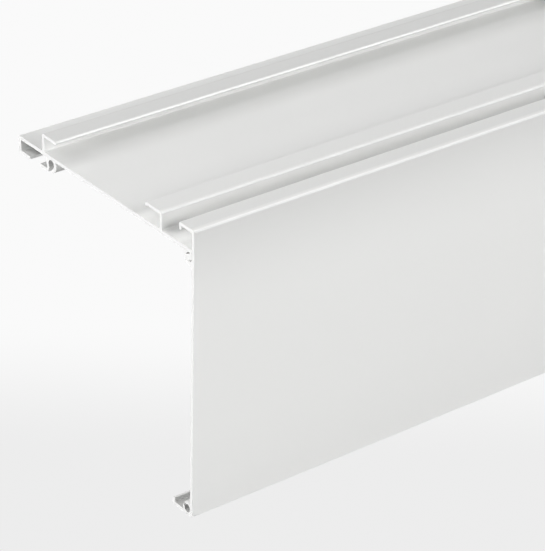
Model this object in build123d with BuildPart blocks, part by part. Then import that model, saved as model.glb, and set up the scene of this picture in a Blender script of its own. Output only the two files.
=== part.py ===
from build123d import *
import os

os.makedirs("parts", exist_ok=True)

# ---------------------------------------------------------------- dimensions
# Blind pelmet: an L-shaped aluminium section of two hooked extrusions, carried
# under a ceiling by two sprung brackets. Millimetres.
# Section coordinates: first = distance rearward from the fascia's front face,
# second = height, 0 at the ceiling plane (the fascia lip's top), down negative.
LENGTH = 900.0            # cut length of both extrusions
DEPTH = 112.0             # fascia front to the rear wall
HEIGHT = 120.0            # ceiling plane to the fascia's lower edge
FIX_Y = 58.0              # section depth of the ceiling fixing line = row Y 0

# top plate extrusion
RAIL_TOP = -0.87          # rail tops, just clear of the ceiling
PLATE_TOP = -8.1
PLATE_T = 1.45
PLATE_UNDER = PLATE_TOP - PLATE_T
RAIL_T = 1.3              # rail wall
FLANGE_T = 1.2            # front rail flange
FRONT_RAIL_Y = 19.45
FRONT_FLANGE_END = 29.6
FLANGE_TIP_T = 1.6        # thicker tip of the front flange
REAR_RAIL_Y = 96.0        # rear face of the rear rail
REAR_FLANGE_END = 86.7
REAR_FLANGE_T = 1.2
RAIL_EDGE_R = 0.9         # rolled outer edge of the front rail
SLOT_REAR_T = 1.5         # rear wall of the T-slot
SLOT_LIP_TOP = -14.0
SLOT_LIP_T = 1.2
SLOT_MOUTH = (97.7, 104.3)
PORT_R = 1.8              # rear screw port
PORT_OUTER_R = 3.3
PORT_C = (90.05, -11.45)
PORT_GAP = 1.7

# hook joint between plate and fascia
HOOK_C = (2.98, -11.46)
HOOK_SEAT_R = 1.78
HOOK_TONGUE_R = 1.72
HOOK_TONGUE_T = 2.3
HOOK_ANGLE = -25.5
HOOK_OUTER_R = 3.05
LEG_Y = (1.45, 2.65)

# fascia extrusion
FASCIA_T = 1.3
LIP_END = 8.95
LIP_T = 1.2
LIP_DROP = 2.9
FASCIA_EDGE_R = 1.0       # rolled top edge
FLOOR_T = 1.15
GUTTER_END = 11.85
GUTTER_LIP_TOP = -117.0
LOW_PORT_C = (3.0, -117.4)
LOW_PORT_R = 1.7
LOW_PORT_OUTER_R = 2.75

# ceiling brackets
BRACKET_X = (-164.0, 196.0)   # centres of the two brackets
BRACKET_HALF = 30.0
BRACKET_T = 2.0
HOOK_PLATE_TOP = -2.65
FRONT_HOOK_Y = 20.95
BRACKET_REAR_Y = 84.0
SCREW_SLOT_X = -16.0          # slots, from the bracket centre
SCREW_SLOT_W = 5.0
SCREW_SLOT_L = 16.0
SCREW_SLOT_Y = (43.0, 73.0)

# sprung latch
LATCH_X = 12.0                # latch centre, from the bracket centre
LATCH_HALF = 14.0
LATCH_Y = (46.0, 94.4)
LATCH_Z = (-3.75, -2.25)
LATCH_TRAVEL = 9.0
RIVET_DX = 9.5
RIVET_Y = 74.0
RIVET_R = 1.5
WINDOW_HALF = 2.7
WINDOW_Y = (50.8, 70.0)
TAB_Y = (51.5, 53.0)          # fixed spring seat on the bracket
TAB_BOTTOM = -7.1
SPRING_Z = -4.7
SPRING_R = 2.0                # mean coil radius
SPRING_WIRE_R = 0.3
SPRING_TURNS = 7

# T-slot nuts for the blind's own brackets
NUT_X = (-400.0, 400.0)
NUT_Y = (94.6, 107.6)
NUT_HALF = 9.0
NUT_Z = (SLOT_LIP_TOP + 0.02, SLOT_LIP_TOP + 3.45)
M5_R = 2.5
WASHER_R = 5.0
WASHER_T = 1.0

# moulded end panel
CAP_T = 2.4
CAP_RIB_T = 1.2
CAP_RIB_DEPTH = 7.0
CAP_TOP = -0.3
CAP_CORNER_R = 12.0
CAP_HOLE_R = 2.25

X0 = -LENGTH / 2
X1 = LENGTH / 2
SECTION = Plane(origin=(X0, -FIX_Y, 0), x_dir=(0, 1, 0), z_dir=(1, 0, 0))


def band(y0, z0, y1, z1, mode=Mode.ADD):
    """A rectangle given by two opposite corners of the section."""
    with Locations(((y0 + y1) / 2, (z0 + z1) / 2)):
        Rectangle(abs(y1 - y0), abs(z1 - z0), mode=mode)


def near(sketch, *points):
    """The sketch corners that lie at the given section points."""
    found = []
    for p in points:
        v = min(sketch.vertices(), key=lambda q: (q.X - p[0]) ** 2 + (q.Y - p[1]) ** 2)
        if (v.X - p[0]) ** 2 + (v.Y - p[1]) ** 2 > 0.04:
            print("no corner at", p)
        else:
            found.append(v)
    return found


def finish(part, name):
    part.label = name
    export_step(part, "parts/" + name + ".step")


# ---------------------------------------------------------------- tongue of the hook joint
with BuildSketch() as tongue:
    Circle(HOOK_TONGUE_R)
    Rectangle(6, HOOK_TONGUE_T, mode=Mode.INTERSECT)

# ---------------------------------------------------------------- top plate
with BuildPart() as top_plate:
    with BuildSketch(SECTION) as s:
        band(LEG_Y[0], PLATE_UNDER, DEPTH, PLATE_TOP)
        # front rail, its flange pointing rearward with a thicker tip
        band(FRONT_RAIL_Y, PLATE_TOP, FRONT_RAIL_Y + RAIL_T, RAIL_TOP)
        band(FRONT_RAIL_Y, RAIL_TOP - FLANGE_T, FRONT_FLANGE_END, RAIL_TOP)
        band(FRONT_FLANGE_END - 1.0, RAIL_TOP - FLANGE_TIP_T, FRONT_FLANGE_END, RAIL_TOP)
        # rear rail, its flange pointing forward
        band(REAR_RAIL_Y - RAIL_T, PLATE_TOP, REAR_RAIL_Y, RAIL_TOP)
        band(REAR_FLANGE_END, RAIL_TOP - REAR_FLANGE_T, REAR_RAIL_Y, RAIL_TOP)
        # T-slot under the rear edge
        band(DEPTH - SLOT_REAR_T, SLOT_LIP_TOP - SLOT_LIP_T, DEPTH, PLATE_TOP)
        band(SLOT_MOUTH[1], SLOT_LIP_TOP - SLOT_LIP_T, DEPTH, SLOT_LIP_TOP)
        band(91.9, SLOT_LIP_TOP - SLOT_LIP_T, SLOT_MOUTH[0], SLOT_LIP_TOP)
        band(91.9, SLOT_LIP_TOP - 0.6, 92.8, SLOT_LIP_TOP + 0.8)
        # leg and tongue that hook into the fascia
        band(LEG_Y[0], HOOK_C[1] + 0.3, LEG_Y[1], PLATE_UNDER)
        with Locations(Location((HOOK_C[0], HOOK_C[1], 0), (0, 0, HOOK_ANGLE))):
            add(tongue.sketch)
        # screw port: open ring, its gap facing down and a little rearward
        with Locations(PORT_C):
            Circle(PORT_OUTER_R)
        # nothing of the ring stands above the plate
        band(PORT_C[0] - 4, PLATE_TOP, PORT_C[0] + 4, PLATE_TOP + 1.0, Mode.SUBTRACT)
        with Locations(PORT_C):
            Circle(PORT_R, mode=Mode.SUBTRACT)
        with Locations(Location((PORT_C[0], PORT_C[1], 0), (0, 0, -72))):
            with Locations((2.6, 0)):
                Rectangle(4.6, PORT_GAP, mode=Mode.SUBTRACT)
        # small radii: rolled outer edges and root fillets
        fillet(near(s, (FRONT_RAIL_Y, RAIL_TOP)), RAIL_EDGE_R)
        fillet(near(s, (REAR_RAIL_Y, RAIL_TOP)), 0.6)
        fillet(near(s, (FRONT_RAIL_Y + RAIL_T, RAIL_TOP - FLANGE_T),
                    (REAR_RAIL_Y - RAIL_T, RAIL_TOP - REAR_FLANGE_T)), 0.4)
        fillet(near(s, (FRONT_FLANGE_END, RAIL_TOP), (FRONT_FLANGE_END, RAIL_TOP - FLANGE_TIP_T)), 0.45)
        fillet(near(s, (REAR_FLANGE_END, RAIL_TOP)), 0.75)
        fillet(near(s, (REAR_FLANGE_END, RAIL_TOP - REAR_FLANGE_T)), 0.3)
        fillet(near(s, (DEPTH, PLATE_TOP), (DEPTH, SLOT_LIP_TOP - SLOT_LIP_T)), 0.4)
        fillet(near(s, (SLOT_MOUTH[0], SLOT_LIP_TOP - SLOT_LIP_T),
                    (SLOT_MOUTH[1], SLOT_LIP_TOP - SLOT_LIP_T),
                    (SLOT_MOUTH[0], SLOT_LIP_TOP), (SLOT_MOUTH[1], SLOT_LIP_TOP)), 0.2)
        fillet(near(s, (REAR_RAIL_Y, PLATE_TOP), (FRONT_RAIL_Y, PLATE_TOP),
                    (REAR_RAIL_Y - RAIL_T, PLATE_TOP),
                    (FRONT_RAIL_Y + RAIL_T, PLATE_TOP)), 0.6)
        fillet(near(s, (DEPTH - SLOT_REAR_T, PLATE_UNDER),
                    (DEPTH - SLOT_REAR_T, SLOT_LIP_TOP)), 0.4)
    extrude(amount=LENGTH)
finish(top_plate.part, "top_plate")

# ---------------------------------------------------------------- fascia
with BuildPart() as fascia:
    with BuildSketch(SECTION) as s:
        band(0, -HEIGHT, FASCIA_T, 0)
        band(0, -LIP_T, LIP_END, 0)
        band(LIP_END - 1.2, -LIP_DROP, LIP_END, 0)
        # claw round the plate's tongue
        with Locations(HOOK_C):
            Circle(HOOK_OUTER_R)
        band(0.6, HOOK_C[1] - 3.8, 2.7, HOOK_C[1])
        band(-1, PLATE_UNDER - 0.06, 7, PLATE_UNDER + 3, Mode.SUBTRACT)
        band(-2, -18, 0, -6, Mode.SUBTRACT)
        band(0, -HEIGHT, FASCIA_T, 0)
        band(FASCIA_T, HOOK_C[1], LEG_Y[1] + 0.1, PLATE_UNDER + 0.5, Mode.SUBTRACT)
        with Locations(HOOK_C):
            Circle(HOOK_SEAT_R, mode=Mode.SUBTRACT)
        band(0, -HEIGHT, FASCIA_T - 0.15, 0)
        # bottom gutter
        band(0, -HEIGHT, GUTTER_END, -HEIGHT + FLOOR_T)
        band(GUTTER_END - 1.2, -HEIGHT, GUTTER_END, GUTTER_LIP_TOP)
        # lower screw port: open ring, its gap facing up and rearward
        with Locations(LOW_PORT_C):
            Circle(LOW_PORT_OUTER_R)
        with Locations(LOW_PORT_C):
            Circle(LOW_PORT_R, mode=Mode.SUBTRACT)
        with Locations(Location((LOW_PORT_C[0], LOW_PORT_C[1], 0), (0, 0, 33))):
            with Locations((2.6, 0)):
                Rectangle(4.4, 1.8, mode=Mode.SUBTRACT)
        band(-1, -HEIGHT - 1, GUTTER_END + 1, -HEIGHT, Mode.SUBTRACT)
        fillet(near(s, (0, 0)), FASCIA_EDGE_R)
        fillet(near(s, (0, -HEIGHT)), 0.2)
        fillet(near(s, (LIP_END, 0), (LIP_END, -LIP_DROP), (LIP_END - 1.2, -LIP_DROP)), 0.35)
        fillet(near(s, (GUTTER_END, -HEIGHT)), 0.5)
        fillet(near(s, (GUTTER_END, GUTTER_LIP_TOP), (GUTTER_END - 1.2, GUTTER_LIP_TOP)), 0.4)
        fillet(near(s, (FASCIA_T, -LIP_T)), 0.6)
    extrude(amount=LENGTH)
finish(fascia.part, "fascia")

# ---------------------------------------------------------------- end panel, right-hand end
PEG_R = LOW_PORT_R - 0.05
with BuildPart() as end_cap:
    with BuildSketch(SECTION.offset(LENGTH)) as s:
        band(0, -HEIGHT, DEPTH, CAP_TOP)
        fillet(near(s, (DEPTH, -HEIGHT)), CAP_CORNER_R)
        fillet(near(s, (0, -HEIGHT), (0, CAP_TOP), (DEPTH, CAP_TOP)), 1.0)
    extrude(amount=CAP_T)
    fillet(end_cap.faces().sort_by(Axis.X)[-1].edges(), 0.8)
    # locating ribs under the plate and behind the fascia
    with BuildSketch(SECTION.offset(LENGTH - CAP_RIB_DEPTH)):
        band(7.5, PLATE_UNDER - 0.2 - CAP_RIB_T, 86.4, PLATE_UNDER - 0.2)
        band(FASCIA_T + 0.2, -112.5, FASCIA_T + 0.2 + CAP_RIB_T, -16.0)
        band(9.0, -40.0, 10.2, PLATE_UNDER - 0.2 - CAP_RIB_T)
        band(FASCIA_T + 0.2, -40.0, 10.2, -38.8)
    extrude(amount=CAP_RIB_DEPTH)
    # peg for the lower port, hole and seat for the screw
    with BuildSketch(SECTION.offset(LENGTH - 10.0)):
        with Locations(LOW_PORT_C):
            Circle(PEG_R)
    extrude(amount=10.0)
    chamfer(end_cap.faces().sort_by(Axis.X)[0].edges(), 0.5)
    with BuildSketch(SECTION.offset(LENGTH - 1.0)):
        with Locations(PORT_C):
            Circle(CAP_HOLE_R)
    extrude(amount=CAP_T + 2.0, mode=Mode.SUBTRACT)
finish(end_cap.part, "end_cap")

# pan-head tapping screw through the end panel into the rear port
CAP_SCREW_SHANK_R = PORT_R - 0.02
with BuildPart() as cap_screw:
    with BuildSketch(SECTION.offset(LENGTH - 13.0)):
        with Locations(PORT_C):
            Circle(CAP_SCREW_SHANK_R)
    extrude(amount=13.0 + CAP_T)
    chamfer(cap_screw.faces().sort_by(Axis.X)[0].edges(), 1.1)
    with BuildSketch(SECTION.offset(LENGTH + CAP_T)):
        with Locations(PORT_C):
            Circle(3.9)
    extrude(amount=2.5)
    fillet(cap_screw.faces().sort_by(Axis.X)[-1].edges(), 1.3)
    with BuildSketch(SECTION.offset(LENGTH + CAP_T + 0.9)):
        with Locations(PORT_C):
            Rectangle(4.0, 0.9)
            Rectangle(0.9, 4.0)
    extrude(amount=2.0, mode=Mode.SUBTRACT)
finish(cap_screw.part, "end_cap_screw")

# ---------------------------------------------------------------- ceiling brackets
for side, bx in zip(("left", "right"), BRACKET_X):
    BP = Plane(origin=(bx, -FIX_Y, 0), x_dir=(1, 0, 0), z_dir=(0, 0, 1))   # plan view
    SP = Plane(origin=(bx - BRACKET_HALF, -FIX_Y, 0), x_dir=(0, 1, 0), z_dir=(1, 0, 0))
    with BuildPart() as bracket:
        # plate against the ceiling, joggled down under the front flange
        with BuildSketch(SP) as s:
            with BuildLine():
                Polyline((BRACKET_REAR_Y, 0), (31.0, 0), (30.1, HOOK_PLATE_TOP),
                         (FRONT_HOOK_Y, HOOK_PLATE_TOP),
                         (FRONT_HOOK_Y, HOOK_PLATE_TOP - BRACKET_T),
                         (31.6, HOOK_PLATE_TOP - BRACKET_T),
                         (32.9, -BRACKET_T), (BRACKET_REAR_Y, -BRACKET_T), close=True)
            make_face()
            fillet(near(s, (31.0, 0), (31.6, HOOK_PLATE_TOP - BRACKET_T)), 0.8)
            fillet(near(s, (FRONT_HOOK_Y, HOOK_PLATE_TOP),
                        (FRONT_HOOK_Y, HOOK_PLATE_TOP - BRACKET_T)), 0.5)
        extrude(amount=2 * BRACKET_HALF)
        # rounded plan corners
        with BuildSketch(BP.offset(1)):
            with Locations((0, (FRONT_HOOK_Y + BRACKET_REAR_Y) / 2)):
                RectangleRounded(2 * BRACKET_HALF, BRACKET_REAR_Y - FRONT_HOOK_Y, 3.5)
        extrude(amount=-8, mode=Mode.INTERSECT)
        # two folded stiffening ribs pressed down beside the screw slots
        with BuildSketch(BP.offset(-BRACKET_T)):
            with Locations((-27.0, 58.0), (-4.6, 58.0)):
                SlotOverall(44.0, 2.2, rotation=90)
        extrude(amount=-0.9)
        with BuildSketch(BP):
            with Locations((-27.0, 58.0), (-4.6, 58.0)):
                SlotOverall(43.2, 1.4, rotation=90)
        extrude(amount=-0.9, mode=Mode.SUBTRACT)
        # slots for the ceiling screws, along the pelmet
        with BuildSketch(BP):
            with Locations((SCREW_SLOT_X, SCREW_SLOT_Y[0]), (SCREW_SLOT_X, SCREW_SLOT_Y[1])):
                SlotOverall(SCREW_SLOT_L, SCREW_SLOT_W)
        extrude(amount=-BRACKET_T, mode=Mode.SUBTRACT)
        # lanced spring seat and the opening that it leaves
        with BuildSketch(BP):
            with Locations((LATCH_X, (TAB_Y[0] + 45.6) / 2)):
                Rectangle(4.4, TAB_Y[0] - 45.6)
        extrude(amount=-BRACKET_T, mode=Mode.SUBTRACT)
        with BuildSketch(BP.offset(-BRACKET_T)):
            with Locations((LATCH_X, (TAB_Y[0] + TAB_Y[1]) / 2)):
                Rectangle(4.4, TAB_Y[1] - TAB_Y[0])
        extrude(amount=TAB_BOTTOM + BRACKET_T)
        with BuildSketch(BP.offset(SPRING_Z - 0.6)):
            with Locations((LATCH_X, TAB_Y[1] + 0.8)):
                Rectangle(1.4, 1.6)
        extrude(amount=1.2)
        # countersunk rivet holes
        with Locations(BP):
            with Locations((LATCH_X - RIVET_DX, RIVET_Y, 0), (LATCH_X + RIVET_DX, RIVET_Y, 0)):
                CounterSinkHole(RIVET_R, 2.4, BRACKET_T, 90)
    finish(bracket.part, "bracket_" + side)

    # shoulder rivets that guide the latch
    with BuildPart() as rivets:
        for dx in (-RIVET_DX, RIVET_DX):
            with BuildSketch(Plane(origin=(bx + LATCH_X + dx, RIVET_Y - FIX_Y, 0),
                                   x_dir=(1, 0, 0), z_dir=(0, -1, 0))):
                with BuildLine():
                    Polyline((0, 0), (2.4, 0), (RIVET_R, -0.9), (RIVET_R, LATCH_Z[0] - 0.1),
                             (2.9, LATCH_Z[0] - 0.1), (2.9, LATCH_Z[0] - 0.6),
                             (1.6, LATCH_Z[0] - 1.3), (0, LATCH_Z[0] - 1.3), close=True)
                make_face()
            revolve(axis=Axis((bx + LATCH_X + dx, RIVET_Y - FIX_Y, 0), (0, 0, 1)))
    finish(rivets.part, "latch_rivets_" + side)

    # latch: a flat slider whose nose runs under the rear flange
    with BuildPart() as latch:
        with BuildSketch(BP.offset(LATCH_Z[1])) as s:
            with Locations((LATCH_X, (LATCH_Y[0] + LATCH_Y[1]) / 2)):
                Rectangle(2 * LATCH_HALF, LATCH_Y[1] - LATCH_Y[0])
            fillet(near(s, (LATCH_X - LATCH_HALF, LATCH_Y[0]), (LATCH_X + LATCH_HALF, LATCH_Y[0])), 3.0)
            fillet(near(s, (LATCH_X - LATCH_HALF, LATCH_Y[1]), (LATCH_X + LATCH_HALF, LATCH_Y[1])), 2.0)
        extrude(amount=LATCH_Z[0] - LATCH_Z[1])
        # lead-in on the nose's lower edge
        with BuildSketch(Plane(origin=(bx + LATCH_X - LATCH_HALF - 1, -FIX_Y, 0),
                               x_dir=(0, 1, 0), z_dir=(1, 0, 0))):
            with BuildLine():
                Polyline((LATCH_Y[1] - 3.2, LATCH_Z[0]), (LATCH_Y[1] + 1, LATCH_Z[0]),
                         (LATCH_Y[1] + 1, LATCH_Z[0] + 1.2), (LATCH_Y[1], LATCH_Z[0] + 1.05),
                         close=True)
            make_face()
        extrude(amount=2 * LATCH_HALF + 2, mode=Mode.SUBTRACT)
        # spring window and rivet slots
        with BuildSketch(BP.offset(LATCH_Z[1])):
            with Locations((LATCH_X, (WINDOW_Y[0] + WINDOW_Y[1]) / 2)):
                Rectangle(2 * WINDOW_HALF, WINDOW_Y[1] - WINDOW_Y[0])
            with Locations((LATCH_X - RIVET_DX, RIVET_Y + LATCH_TRAVEL / 2),
                           (LATCH_X + RIVET_DX, RIVET_Y + LATCH_TRAVEL / 2)):
                SlotOverall(LATCH_TRAVEL + 2 * RIVET_R + 0.3, 2 * RIVET_R + 0.3, rotation=90)
        extrude(amount=LATCH_Z[0] - LATCH_Z[1], mode=Mode.SUBTRACT)
        # spring seat bent down at the window's rear edge, with a nib in the spring
        with BuildSketch(BP.offset(LATCH_Z[0])):
            with Locations((LATCH_X, WINDOW_Y[1] + 0.75)):
                Rectangle(2 * WINDOW_HALF, 1.5)
        extrude(amount=TAB_BOTTOM - LATCH_Z[0])
        with BuildSketch(BP.offset(SPRING_Z - 0.6)):
            with Locations((LATCH_X, WINDOW_Y[1] - 1.0)):
                Rectangle(1.4, 2.0)
        extrude(amount=1.2)
    finish(latch.part, "latch_" + side)

    # compression spring between the bracket's seat and the latch's seat
    SPRING_L = WINDOW_Y[1] - TAB_Y[1] - 2 * SPRING_WIRE_R - 0.1
    SPRING_START = (bx + LATCH_X, TAB_Y[1] - FIX_Y + SPRING_WIRE_R + 0.05, SPRING_Z)
    with BuildPart() as spring:
        with BuildLine() as coil:
            Helix(pitch=SPRING_L / SPRING_TURNS, height=SPRING_L, radius=SPRING_R,
                  center=SPRING_START, direction=(0, 1, 0))
        with BuildSketch(Plane(origin=coil.line @ 0, z_dir=coil.line % 0)):
            Circle(SPRING_WIRE_R)
        sweep(is_frenet=True)
    finish(spring.part, "latch_spring_" + side)

# ---------------------------------------------------------------- T-slot nuts, screws and washers
NUT_MID = (SLOT_MOUTH[0] + SLOT_MOUTH[1]) / 2
WASHER_TOP = SLOT_LIP_TOP - SLOT_LIP_T - 0.05
for side, nx in zip(("left", "right"), NUT_X):
    NP = Plane(origin=(nx, NUT_MID - FIX_Y, 0), x_dir=(1, 0, 0), z_dir=(0, 0, 1))
    with BuildPart() as nut:
        with BuildSketch(NP.offset(NUT_Z[0])):
            RectangleRounded(2 * NUT_HALF, NUT_Y[1] - NUT_Y[0], 1.0)
        extrude(amount=NUT_Z[1] - NUT_Z[0])
        chamfer(nut.faces().sort_by(Axis.Z)[-1].edges(), 0.4)
        with BuildSketch(NP.offset(NUT_Z[0])):
            Circle(M5_R)
        extrude(amount=NUT_Z[1] - NUT_Z[0], mode=Mode.SUBTRACT)
    finish(nut.part, "slot_nut_" + side)

    with BuildPart() as washer:
        with BuildSketch(NP.offset(WASHER_TOP - WASHER_T)):
            Circle(WASHER_R)
            Circle(M5_R + 0.15, mode=Mode.SUBTRACT)
        extrude(amount=WASHER_T)
        fillet(washer.edges().filter_by(GeomType.CIRCLE).group_by(SortBy.RADIUS)[-1], 0.2)
    finish(washer.part, "slot_washer_" + side)

    HEAD_TOP = WASHER_TOP - WASHER_T
    with BuildPart() as bolt:
        with BuildSketch(NP.offset(HEAD_TOP)):
            Circle(M5_R - 0.02)
        extrude(amount=NUT_Z[1] - 0.15 - HEAD_TOP)
        chamfer(bolt.faces().sort_by(Axis.Z)[-1].edges(), 0.5)
        with BuildSketch(NP.offset(HEAD_TOP)):
            Circle(4.6)
        extrude(amount=-3.2)
        fillet(bolt.faces().sort_by(Axis.Z)[0].edges(), 1.4)
        with BuildSketch(NP.offset(HEAD_TOP - 1.3)):
            Rectangle(4.6, 1.05)
            Rectangle(1.05, 4.6)
        extrude(amount=-3.0, mode=Mode.SUBTRACT)
    finish(bolt.part, "slot_screw_" + side)
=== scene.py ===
import bmesh, bpy, math
from mathutils import Matrix, Vector


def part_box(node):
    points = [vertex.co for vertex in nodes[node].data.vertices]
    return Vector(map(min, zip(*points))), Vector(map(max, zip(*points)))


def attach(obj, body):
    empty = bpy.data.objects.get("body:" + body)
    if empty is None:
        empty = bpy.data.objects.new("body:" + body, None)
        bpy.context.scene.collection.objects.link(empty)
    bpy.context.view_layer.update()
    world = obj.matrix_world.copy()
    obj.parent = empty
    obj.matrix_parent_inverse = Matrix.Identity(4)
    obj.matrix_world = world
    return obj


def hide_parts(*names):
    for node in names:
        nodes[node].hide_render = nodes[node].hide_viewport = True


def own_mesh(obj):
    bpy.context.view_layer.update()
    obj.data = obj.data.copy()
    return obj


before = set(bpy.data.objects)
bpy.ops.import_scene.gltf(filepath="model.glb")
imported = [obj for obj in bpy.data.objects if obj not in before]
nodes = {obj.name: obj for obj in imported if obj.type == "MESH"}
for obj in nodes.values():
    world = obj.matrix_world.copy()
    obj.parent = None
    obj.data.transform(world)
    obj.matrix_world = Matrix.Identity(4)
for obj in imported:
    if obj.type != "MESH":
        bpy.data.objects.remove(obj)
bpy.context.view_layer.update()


# ------------------------------------------------------------------ node helpers


class Mat:
    """A small wrapper for building one node material."""

    def __init__(self, name):
        self.m = bpy.data.materials.new(name)
        self.m.use_nodes = True
        self.t = self.m.node_tree
        self.t.nodes.clear()
        self.out = self.t.nodes.new("ShaderNodeOutputMaterial")
        self.n = 0

    def node(self, kind, **props):
        q = self.t.nodes.new(kind)
        self.n += 1
        q.location = (-220 * (self.n % 9), -160 * (self.n // 9))
        for k, v in props.items():
            setattr(q, k, v)
        return q

    def link(self, a, b):
        self.t.links.new(a, b)

    def coords(self, scale=(1, 1, 1), rot=(0, 0, 0)):
        tc = self.node("ShaderNodeTexCoord")
        mp = self.node("ShaderNodeMapping")
        mp.inputs["Scale"].default_value = scale
        mp.inputs["Rotation"].default_value = rot
        self.link(tc.outputs["Object"], mp.inputs["Vector"])
        return mp.outputs["Vector"]

    def noise(self, vec, scale, detail=3.0, rough=0.5):
        q = self.node("ShaderNodeTexNoise")
        q.inputs["Scale"].default_value = scale
        q.inputs["Detail"].default_value = detail
        q.inputs["Roughness"].default_value = rough
        self.link(vec, q.inputs["Vector"])
        return q.outputs["Fac"]

    def remap(self, fac, a, b, lo, hi):
        q = self.node("ShaderNodeMapRange")
        q.inputs["From Min"].default_value = a
        q.inputs["From Max"].default_value = b
        q.inputs["To Min"].default_value = lo
        q.inputs["To Max"].default_value = hi
        self.link(fac, q.inputs["Value"])
        return q.outputs["Result"]

    def math(self, op, a, b=None):
        q = self.node("ShaderNodeMath", operation=op)
        for i, v in enumerate((a, b)):
            if v is None:
                continue
            if isinstance(v, (int, float)):
                q.inputs[i].default_value = v
            else:
                self.link(v, q.inputs[i])
        return q.outputs[0]

    def mix_color(self, fac, c0, c1):
        q = self.node("ShaderNodeMix", data_type="RGBA")
        self.link(fac, q.inputs[0])
        q.inputs[6].default_value = (*c0, 1)
        q.inputs[7].default_value = (*c1, 1)
        return q.outputs[2]

    def bump(self, height, strength, dist, normal=None):
        q = self.node("ShaderNodeBump")
        q.inputs["Strength"].default_value = strength
        q.inputs["Distance"].default_value = dist
        self.link(height, q.inputs["Height"])
        if normal is not None:
            self.link(normal, q.inputs["Normal"])
        return q.outputs["Normal"]

    def bsdf(self, **vals):
        q = self.node("ShaderNodeBsdfPrincipled")
        for k, v in vals.items():
            key = k.replace("_", " ")
            if isinstance(v, (int, float, tuple)):
                q.inputs[key].default_value = v
            else:
                self.link(v, q.inputs[key])
        return q


# ------------------------------------------------------------------ materials


def sec(y, z):
    """A point of the section, from its millimetres to the row's metres."""
    return ((y - 58.0) / 1000.0, z / 1000.0)


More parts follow.
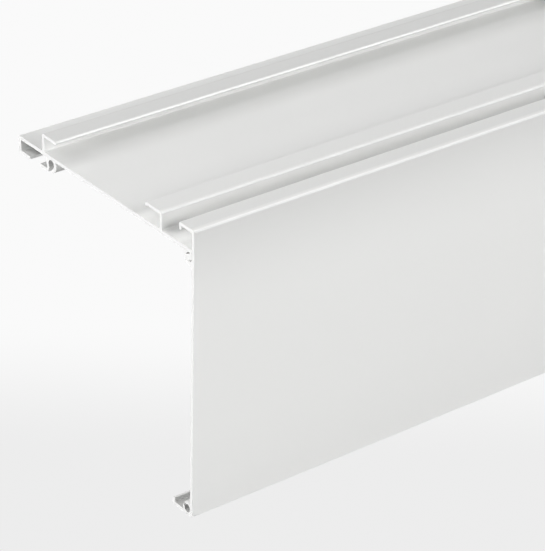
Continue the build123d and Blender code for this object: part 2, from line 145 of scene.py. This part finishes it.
def powder_coat(name="powder_coat_white"):
    """Satin white powder coat on the extrusions, bare metal on their sawn ends."""
    m = Mat(name)
    # fine orange peel and the faint draw lines of the extrusion under it
    v = m.coords()
    peel = m.noise(v, 620.0, 2.0, 0.45)
    grit = m.noise(v, 2600.0, 1.0, 0.5)
    draw = m.noise(m.coords(scale=(1.2, 900.0, 900.0)), 1.0, 2.0, 0.6)
    n = m.bump(draw, 0.05, 0.00006)
    n = m.bump(peel, 0.10, 0.00016, n)
    n = m.bump(grit, 0.05, 0.00003, n)
    cloud = m.noise(v, 9.0, 3.0, 0.5)
    tone = m.mix_color(cloud, PAINT_A, PAINT_B)
    tc = m.node("ShaderNodeTexCoord")
    pos = m.node("ShaderNodeSeparateXYZ")
    m.link(tc.outputs["Object"], pos.inputs["Vector"])
    py, pz = pos.outputs["Y"], pos.outputs["Z"]

    def box(y0, z0, y1, z1, soft=0.0002, soft_z=None):
        (ya, za), (yb, zb) = sec(y0, z0), sec(y1, z1)
        sz = soft if soft_z is None else soft_z
        f = m.math("MULTIPLY", m.remap(py, ya - soft, ya, 0, 1), m.remap(py, yb, yb + soft, 1, 0))
        g = m.math("MULTIPLY", m.remap(pz, za - sz, za, 0, 1), m.remap(pz, zb, zb + sz, 1, 0))
        return m.math("MULTIPLY", f, g)

    def disc(y, z, r, soft=0.0001):
        yc, zc = sec(y, z)
        dy, dz = m.math("SUBTRACT", py, yc), m.math("SUBTRACT", pz, zc)
        d = m.math("SQRT", m.math("ADD", m.math("MULTIPLY", dy, dy), m.math("MULTIPLY", dz, dz)))
        return m.remap(d, r / 1000.0, r / 1000.0 + soft, 1, 0)

    # painted shade: the fascia's front face a little darker, darker still towards its top and bottom edges, and the
    # tops of the rear flange, the lip and the front flange darker, standing in for how the light falls there
    def shade(fac, dark, base):
        q = m.node("ShaderNodeMix", data_type="RGBA", blend_type="MULTIPLY")
        m.link(fac, q.inputs[0])
        m.link(base, q.inputs[6])
        q.inputs[7].default_value = (dark, dark, dark, 1)
        return q.outputs[2]

    on_front = m.remap(py, sec(0.25, 0)[0], sec(0.5, 0)[0], 1, 0)
    fascia_top_shade = m.remap(pz, sec(0, -42.0)[1], sec(0, -1.5)[1], 0, 1)
    fascia_top_shade = m.math("MULTIPLY", m.math("MULTIPLY", fascia_top_shade, fascia_top_shade), on_front)
    fascia_low_shade = m.math("MULTIPLY", m.remap(pz, sec(0, -119.0)[1], sec(0, -85.0)[1], 1, 0), on_front)
    rear = m.math("MULTIPLY", m.remap(py, sec(86.8, 0)[0], sec(88.0, 0)[0], 0, 1),
                  m.remap(pz, sec(0, -1.7)[1], sec(0, -1.2)[1], 0, 1))
    lip_top = box(2.6, -0.5, 8.0, 0.5, 0.0008)
    flange_top = box(21.6, -1.3, 29.7, -0.6, 0.0008)
    tone = shade(on_front, FASCIA_FRONT_SHADE, tone)
    tone = shade(fascia_top_shade, FASCIA_TOP_SHADE, tone)
    tone = shade(fascia_low_shade, FASCIA_LOW_SHADE, tone)
    tone = shade(rear, REAR_FLANGE_SHADE, tone)
    tone = shade(lip_top, LIP_TOP_SHADE, tone)
    tone = shade(flange_top, FLANGE_TOP_SHADE, tone)
    # painted light and shade patches: edge highlights toned down on the front flange tip, the front rail's top edge
    # and the rear flange tip, the rear wall under the flange and the plate's front middle lightened, the plate in
    # front of the rear flange darkened
    for (y0, z0, y1, z1), soft, fac in LIGHT_AND_SHADE_PATCHES:
        tone = shade(box(y0, z0, y1, z1, soft / 1000.0, min(soft, 0.3) / 1000.0), fac, tone)
    # painted light: beside the saw cut the plate in the recesses under the lip and under the front flange is
    # lightened, as if lit through the open end
    near_cut = m.remap(m.math("ABSOLUTE", pos.outputs["X"]), 0.438, 0.4495, 0, 1)
    cut_end_light = m.math("MAXIMUM", box(5.2, -8.6, 10.0, -7.9, 0.004, 0.0003), box(22.5, -8.6, 33.0, -7.9, 0.003, 0.0003))
    tone = shade(m.math("MULTIPLY", near_cut, cut_end_light), CUT_END_LIGHT, tone)
    # painted shade: the plate behind the rear rail is darker beside the cut
    tone = shade(m.math("MULTIPLY", near_cut, box(95.6, -8.6, 111.0, -7.9, 0.0003)), 0.90, tone)
    # painted shade: under the rear flange and just in front of it the plate darkens towards the cut
    channel = m.math("MULTIPLY", box(83.0, -8.6, 95.0, -7.9, 0.006, 0.0003), m.remap(py, sec(94.5, 0)[0], sec(95.5, 0)[0], 1, 0))
    shade_to_cut = m.remap(m.math("ABSOLUTE", pos.outputs["X"]), 0.4350, 0.4460, 0, 1)
    tone = shade(m.math("MULTIPLY", channel, shade_to_cut), CHANNEL_SHADE, tone)
    # painted shadow in the corner between the plate and the front rail near the cut, where the lip's shadow falls
    corner_shadow = m.math("MINIMUM", m.remap(m.math("ABSOLUTE", pos.outputs["X"]), 0.434, 0.4445, 0, 1),
                    m.remap(m.math("ABSOLUTE", pos.outputs["X"]), 0.4465, 0.4498, 1, 0.25))
    corner_shadow = m.math("MULTIPLY", corner_shadow, box(17.5, -8.6, 19.6, -7.4, 0.004, 0.003))
    tone = shade(corner_shadow, CORNER_SHADOW, tone)
    # painted shade inside the slot, the ports and the gutter: their insides get a darker tone
    recess_shade_mask = m.math("MAXIMUM", box(93.2, -14.05, 110.55, -9.5), box(4.3, -118.9, 10.75, -117.0))
    bore_shade_mask = m.math("MAXIMUM", disc(90.05, -11.45, 1.95), disc(3.0, -117.4, 1.85))
    tone = shade(recess_shade_mask, RECESS_SHADE, tone)
    # and painted shade darkens the slot's inside much more beyond about a centimetre from the cut
    slot_depth_mask = m.remap(m.math("ABSOLUTE", pos.outputs["X"]), 0.4415, 0.4487, 1, 0)
    tone = shade(m.math("MULTIPLY", slot_depth_mask, box(93.2, -14.05, 110.55, -9.5)), SLOT_DEPTH_SHADE, tone)
    tone = shade(box(4.3, -118.9, 10.75, -117.0), GUTTER_SHADE, tone)
    tone = shade(bore_shade_mask, BORE_SHADE, tone)
    rough = m.remap(m.noise(v, 60.0, 3.0, 0.6), 0.3, 0.7, PAINT_ROUGH - 0.015, PAINT_ROUGH + 0.035)
    paint = m.bsdf(Base_Color=tone, Roughness=rough, Normal=n)
    # sawn end: bare aluminium with curved blade marks
    sep = m.node("ShaderNodeSeparateXYZ")
    m.link(tc.outputs["Normal"], sep.inputs["Vector"])
    end = m.math("GREATER_THAN", m.math("ABSOLUTE", sep.outputs["X"]), 0.9)
    wave = m.node("ShaderNodeTexWave", wave_type="RINGS", rings_direction="X")
    wave.inputs["Scale"].default_value = 420.0
    wave.inputs["Distortion"].default_value = 1.5
    wave.inputs["Detail"].default_value = 2.0
    wave.inputs["Detail Scale"].default_value = 1.5
    mp = m.node("ShaderNodeMapping")
    mp.inputs["Location"].default_value = (0.0, 0.16, 0.21)
    m.link(tc.outputs["Object"], mp.inputs["Vector"])
    m.link(mp.outputs["Vector"], wave.inputs["Vector"])
    scratch = m.noise(m.coords(scale=(1.0, 260.0, 2600.0), rot=(0.5, 0, 0)), 1.0, 3.0, 0.6)
    nb = m.bump(wave.outputs["Fac"], 0.12, 0.00008)
    nb = m.bump(scratch, 0.15, 0.00005, nb)
    sc = m.mix_color(scratch, SAWN_A, SAWN_B)
    sawn = m.bsdf(Base_Color=sc, Metallic=SAWN_METAL, Roughness=0.5, Normal=nb)
    mix = m.node("ShaderNodeMixShader")
    m.link(end, mix.inputs[0])
    m.link(paint.outputs[0], mix.inputs[1])
    m.link(sawn.outputs[0], mix.inputs[2])
    m.link(mix.outputs[0], m.out.inputs[0])
    return m.m


def moulded_plastic(name="moulded_white_plastic"):
    m = Mat(name)
    v = m.coords()
    cell = m.node("ShaderNodeTexVoronoi")
    cell.inputs["Scale"].default_value = 1500.0
    m.link(v, cell.inputs["Vector"])
    n = m.bump(cell.outputs["Distance"], 0.12, 0.00004)
    n = m.bump(m.noise(v, 500.0, 2.0), 0.06, 0.00008, n)
    tone = m.mix_color(m.noise(v, 14.0), (0.80, 0.80, 0.785), (0.835, 0.835, 0.82))
    rough = m.remap(m.noise(v, 80.0), 0.3, 0.7, 0.47, 0.55)
    b = m.bsdf(Base_Color=tone, Roughness=rough, Normal=n)
    m.link(b.outputs[0], m.out.inputs[0])
    return m.m


def galvanised(name="galvanised_sheet"):
    """Zinc-coated sheet: soft crystal patches, rolling grain, small scuffs."""
    m = Mat(name)
    v = m.coords()
    cell = m.node("ShaderNodeTexVoronoi")
    cell.inputs["Scale"].default_value = 170.0
    m.link(v, cell.inputs["Vector"])
    sepc = m.node("ShaderNodeSeparateColor")
    m.link(cell.outputs["Color"], sepc.inputs[0])
    grain = m.noise(m.coords(scale=(60.0, 1400.0, 1400.0)), 1.0, 3.0, 0.6)
    patch = m.math("ADD", m.math("MULTIPLY", sepc.outputs[0], 0.6), m.math("MULTIPLY", grain, 0.4))
    tone = m.mix_color(patch, (0.56, 0.57, 0.58), (0.66, 0.668, 0.675))
    rough = m.remap(patch, 0.0, 1.0, 0.50, 0.60)
    n = m.bump(grain, 0.10, 0.00003)
    n = m.bump(m.noise(v, 900.0), 0.06, 0.00004, n)
    b = m.bsdf(Base_Color=tone, Metallic=0.45, Roughness=rough, Normal=n)
    m.link(b.outputs[0], m.out.inputs[0])
    return m.m


def bright_zinc(name="bright_zinc"):
    m = Mat(name)
    v = m.coords()
    blot = m.noise(v, 220.0, 3.0, 0.55)
    tone = m.mix_color(blot, (0.60, 0.62, 0.64), (0.78, 0.78, 0.76))
    rough = m.remap(m.noise(v, 500.0), 0.3, 0.7, 0.20, 0.34)
    n = m.bump(m.noise(v, 1500.0), 0.08, 0.00003)
    b = m.bsdf(Base_Color=tone, Metallic=0.8, Roughness=rough, Normal=n)
    m.link(b.outputs[0], m.out.inputs[0])
    return m.m


def spring_wire(name="spring_wire"):
    m = Mat(name)
    v = m.coords()
    blot = m.noise(v, 400.0, 3.0, 0.6)
    tone = m.mix_color(blot, (0.34, 0.34, 0.35), (0.50, 0.50, 0.50))
    rough = m.remap(blot, 0.3, 0.7, 0.26, 0.40)
    n = m.bump(m.noise(v, 2500.0), 0.08, 0.00002)
    b = m.bsdf(Base_Color=tone, Metallic=1.0, Roughness=rough, Normal=n)
    m.link(b.outputs[0], m.out.inputs[0])
    return m.m


PAINT_A = (0.790, 0.792, 0.782)
PAINT_B = (0.812, 0.814, 0.804)
PAINT_ROUGH = 0.30
# painted shade factors for the fascia's face and the narrow top faces
FASCIA_FRONT_SHADE = 0.985
FASCIA_TOP_SHADE = 0.85
FASCIA_LOW_SHADE = 0.975
REAR_FLANGE_SHADE = 0.87
LIP_TOP_SHADE = 0.915
FLANGE_TOP_SHADE = 0.955
# painted light factor for the recesses beside the cut
CUT_END_LIGHT = 1.22
# painted shadow factor for the plate and front rail corner
CORNER_SHADOW = 0.68
# painted light and shade patches, each: (y0, z0, y1, z1) box in mm, soft edge in mm, tone factor
LIGHT_AND_SHADE_PATCHES = (
    ((29.3, -2.6, 30.2, -0.7), 0.2, 0.90),
    ((19.1, -1.9, 19.9, -0.7), 0.2, 0.92),
    ((86.3, -2.4, 87.0, -1.5), 0.2, 0.80),
    ((94.3, -7.8, 95.2, -2.2), 0.2, 1.05),
    ((40.0, -8.4, 54.0, -7.6), 10.0, 1.015),
    ((86.0, -8.4, 86.6, -7.6), 11.0, 0.93),
)
# painted shade factor for the slot and gutter insides
RECESS_SHADE = 0.80
# painted shade factor under the rear flange
CHANNEL_SHADE = 0.85
# painted shade factors for the slot's depth, the gutter and the bores
SLOT_DEPTH_SHADE = 0.42
GUTTER_SHADE = 0.83
BORE_SHADE = 0.60
SAWN_A = (0.69, 0.69, 0.685)
SAWN_B = (0.75, 0.75, 0.745)
SAWN_METAL = 0.15

coat = powder_coat()
plastic = moulded_plastic()
sheet_zinc = galvanised()
zinc = bright_zinc()
wire = spring_wire()
look = {"top_plate": coat, "fascia": coat, "end_cap": plastic, "end_cap_screw": zinc}
for side in ("left", "right"):
    look["bracket_" + side] = sheet_zinc
    look["latch_" + side] = sheet_zinc
    look["latch_rivets_" + side] = zinc
    look["latch_spring_" + side] = wire
    look["slot_nut_" + side] = zinc
    look["slot_screw_" + side] = zinc
    look["slot_washer_" + side] = zinc
for name, mat in look.items():
    o = nodes[name]
    o.data.materials.clear()
    o.data.materials.append(mat)

# ------------------------------------------------------------------ latch springs
SPRING_MEAN_R = 0.0020
SPRING_WIRE_R = 0.0003
SPRING_TURNS = 7.0


def coil_spring(name, node):
    """A compression spring in the CAD spring's place, its end coils closed up, as one closed tube."""
    lo, hi = (Vector(c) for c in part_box(node))
    cx, cz = (lo.x + hi.x) / 2, (lo.z + hi.z) / 2
    y0, y1 = lo.y + SPRING_WIRE_R, hi.y - SPRING_WIRE_R
    rings, sides = 252, 12
    line = []
    for i in range(rings + 1):
        t = i / rings
        turn = t * SPRING_TURNS
        # nearly closed first and last coil, even pitch between them
        dead = 0.30
        free = (1.0 - 2 * dead / SPRING_TURNS)
        if turn < 1.0:
            f = dead * turn / SPRING_TURNS
        elif turn > SPRING_TURNS - 1.0:
            f = 1.0 - dead * (SPRING_TURNS - turn) / SPRING_TURNS
        else:
            f = dead / SPRING_TURNS + free * (turn - 1.0) / (SPRING_TURNS - 2.0)
        a = 2 * math.pi * turn
        line.append(Vector((cx + SPRING_MEAN_R * math.cos(a), y0 + (y1 - y0) * f, cz + SPRING_MEAN_R * math.sin(a))))
    verts, faces = [], []
    for i, p in enumerate(line):
        tangent = (line[min(i + 1, rings)] - line[max(i - 1, 0)]).normalized()
        out = Vector((p.x - cx, 0, p.z - cz)).normalized()
        out = (out - tangent * out.dot(tangent)).normalized()
        up = tangent.cross(out)
        for k in range(sides):
            b = 2 * math.pi * k / sides
            verts.append(p + (out * math.cos(b) + up * math.sin(b)) * SPRING_WIRE_R)
    for i in range(rings):
        for k in range(sides):
            a, b = i * sides + k, i * sides + (k + 1) % sides
            faces.append((a, b, b + sides, a + sides))
    faces.append(tuple(reversed(range(sides))))
    faces.append(tuple(rings * sides + k for k in range(sides)))
    mesh = bpy.data.meshes.new(name)
    mesh.from_pydata([tuple(v) for v in verts], [], faces)
    bm = bmesh.new()
    bm.from_mesh(mesh)
    bmesh.ops.recalc_face_normals(bm, faces=bm.faces)
    bm.to_mesh(mesh)
    bm.free()
    for p in mesh.polygons:
        p.use_smooth = len(p.vertices) == 4
    mesh.materials.append(wire)
    o = bpy.data.objects.new(name, mesh)
    bpy.context.scene.collection.objects.link(o)
    return o, (cx, cz), hi.y


for side in ("left", "right"):
    spring, (cx, cz), far = coil_spring("latch_spring_%s_coil" % side, "latch_spring_" + side)
    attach(spring, "ceiling_brackets")
    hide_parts("latch_spring_" + side)
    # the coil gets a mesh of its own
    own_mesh(spring)

# ------------------------------------------------------------------ floor
FLOOR_Z = -0.1202
CAM = Vector((-0.95099, -0.73789, 0.45695))


def make_floor():
    half = 8.0
    mesh = bpy.data.meshes.new("studio_floor")
    mesh.from_pydata([(-half, -half, FLOOR_Z), (half, -half, FLOOR_Z), (half, half, FLOOR_Z), (-half, half, FLOOR_Z)],
                     [], [(0, 1, 2, 3)])
    o = bpy.data.objects.new("studio_floor", mesh)
    bpy.context.scene.collection.objects.link(o)
    m = Mat("floor_pale")
    tc = m.node("ShaderNodeTexCoord")
    dot = m.node("ShaderNodeVectorMath", operation="DOT_PRODUCT")
    m.link(tc.outputs["Object"], dot.inputs[0])
    dot.inputs[1].default_value = (0.61916, 0.78528, 0.0)
    across = m.node("ShaderNodeVectorMath", operation="DOT_PRODUCT")
    m.link(tc.outputs["Object"], across.inputs[0])
    across.inputs[1].default_value = (0.78528, -0.61916, 0.0)

    def smooth(value, a, b, lo, hi):
        q = m.node("ShaderNodeMapRange", interpolation_type="SMOOTHSTEP")
        for key, v in (("From Min", a), ("From Max", b), ("To Min", lo), ("To Max", hi)):
            q.inputs[key].default_value = v
        m.link(value, q.inputs["Value"])
        return q.outputs["Result"]

    # painted shadow: the pale floor is a little greyer in one soft patch below the object's left end
    side = m.math("ABSOLUTE", m.math("SUBTRACT", across.outputs["Value"], FLOOR_MID))
    patch = m.math("MULTIPLY", smooth(dot.outputs["Value"], FLOOR_D0, FLOOR_D1, 1.0, 0.0),
                   smooth(dot.outputs["Value"], FLOOR_D0 - 0.55, FLOOR_D0 - 0.07, 0.0, 1.0))
    patch = m.math("MULTIPLY", patch, smooth(side, 0.10, 0.60, 1.0, 0.0))
    em = m.node("ShaderNodeEmission")
    m.link(m.mix_color(patch, FLOOR_FAR, FLOOR_SHADOW_GREY), em.inputs["Color"])
    em.inputs["Strength"].default_value = 1.0
    m.link(em.outputs[0], m.out.inputs[0])
    mesh.materials.append(m.m)
    # the bright floor is a backdrop: its light on the object comes from the world's lower half
    o.visible_diffuse = False
    o.visible_glossy = False
    return o


# distance along the view's ground direction from the row origin
CAM_D = CAM.x * 0.61916 + CAM.y * 0.78528
FLOOR_D0 = CAM_D + 0.882
FLOOR_D1 = CAM_D + 0.986
FLOOR_MID = CAM.x * 0.78528 - CAM.y * 0.61916
# grey of the painted floor shadow, and the pale floor around it
FLOOR_SHADOW_GREY = (0.845, 0.845, 0.845)
FLOOR_FAR = (0.955, 0.955, 0.955)
FLOOR_BOUNCE = 0.36
SKY_GLOSS = 0.20
make_floor()

# ------------------------------------------------------------------ light and camera
scene = bpy.context.scene
world = bpy.data.worlds.new("studio")
scene.world = world
world.use_nodes = True
wt = world.node_tree
# a pale backdrop above the floor's far edge, a soft grey bounce from below, and a dim sky that only gloss sees
bounce = wt.nodes["Background"]
bounce.inputs["Color"].default_value = (1.0, 1.0, 1.0, 1)
where = wt.nodes.new("ShaderNodeTexCoord")
split = wt.nodes.new("ShaderNodeSeparateXYZ")
wt.links.new(where.outputs["Generated"], split.inputs[0])
below = wt.nodes.new("ShaderNodeMapRange")
below.inputs["From Min"].default_value = -0.02
below.inputs["From Max"].default_value = 0.02
below.inputs["To Min"].default_value = FLOOR_BOUNCE
below.inputs["To Max"].default_value = 0.0
wt.links.new(split.outputs["Z"], below.inputs["Value"])
path = wt.nodes.new("ShaderNodeLightPath")
sky = wt.nodes.new("ShaderNodeMath")
sky.operation = "MULTIPLY"
wt.links.new(path.outputs["Is Glossy Ray"], sky.inputs[0])
sky.inputs[1].default_value = SKY_GLOSS
wt.links.new(sky.outputs[0], below.inputs["To Max"])
wt.links.new(below.outputs["Result"], bounce.inputs["Strength"])
pale = wt.nodes.new("ShaderNodeBackground")
pale.inputs["Color"].default_value = (0.93, 0.93, 0.93, 1)
both = wt.nodes.new("ShaderNodeMixShader")
wt.links.new(path.outputs["Is Camera Ray"], both.inputs[0])
wt.links.new(bounce.outputs[0], both.inputs[1])
wt.links.new(pale.outputs[0], both.inputs[2])
wt.links.new(both.outputs[0], wt.nodes["World Output"].inputs[0])
scene.view_settings.view_transform = "Standard"
scene.view_settings.look = "None"
scene.view_settings.exposure = 0.0
scene.view_settings.gamma = 1.0

TARGET = Vector((-0.36, 0.0, -0.03))


def softbox(name, direction, dist, size, watts, glossy=True):
    d = Vector(direction).normalized()
    data = bpy.data.lights.new(name, "AREA")
    data.shape = "SQUARE"
    data.size = size
    data.energy = watts
    data.color = (1.0, 1.0, 1.0)
    o = bpy.data.objects.new(name, data)
    scene.collection.objects.link(o)
    o.location = TARGET + d * dist
    o.rotation_euler = (-d).to_track_quat("-Z", "Y").to_euler()
    o.visible_glossy = glossy
    return o


# the two big boxes on the left give soft light only, so that they don't glare on the plate from the right
softbox("left", (-1.0, -0.10, 0.25), 2.2, 1.2, 39.5, glossy=False)
softbox("left_back", (-0.60, 0.60, 0.50), 2.2, 1.2, 23.9, glossy=False)
softbox("front_low", (0.10, -1.0, 0.10), 2.2, 1.2, 18.5)
softbox("left_front", (-0.70, -0.60, 0.40), 2.2, 1.2, 16.0)
softbox("edge_front", (0.54, -0.70, 0.46), 2.0, 0.6, 13.2)
softbox("edge_top", (0.54, 0.066, 0.839), 2.0, 0.7, 6.2)
softbox("left_top", (-0.60, -0.10, 0.80), 2.2, 1.2, 6.2)
softbox("right_fill", (1.0, -0.30, 0.45), 2.2, 1.2, 5.0)
softbox("cap_side", (1.0, 0.05, 0.06), 2.4, 1.0, 8.5)
softbox("back_low", (0.15, 1.0, 0.08), 2.2, 1.2, 9.0, glossy=False)

cam = bpy.data.cameras.new("camera")
cam.sensor_width = 36.0
cam.sensor_fit = "AUTO"
cam.lens = 180.3206
cam.clip_start = 0.05
cam.clip_end = 50.0
co = bpy.data.objects.new("camera", cam)
scene.collection.objects.link(co)
ax = Vector((0.792356, -0.609696, 0.021048)).normalized()
az = Vector((-0.539936, -0.684801, 0.489405))
az = (az - ax * az.dot(ax)).normalized()
ay = az.cross(ax)
co.matrix_world = Matrix.Translation(CAM) @ Matrix((ax, ay, az)).transposed().to_4x4()
scene.camera = co
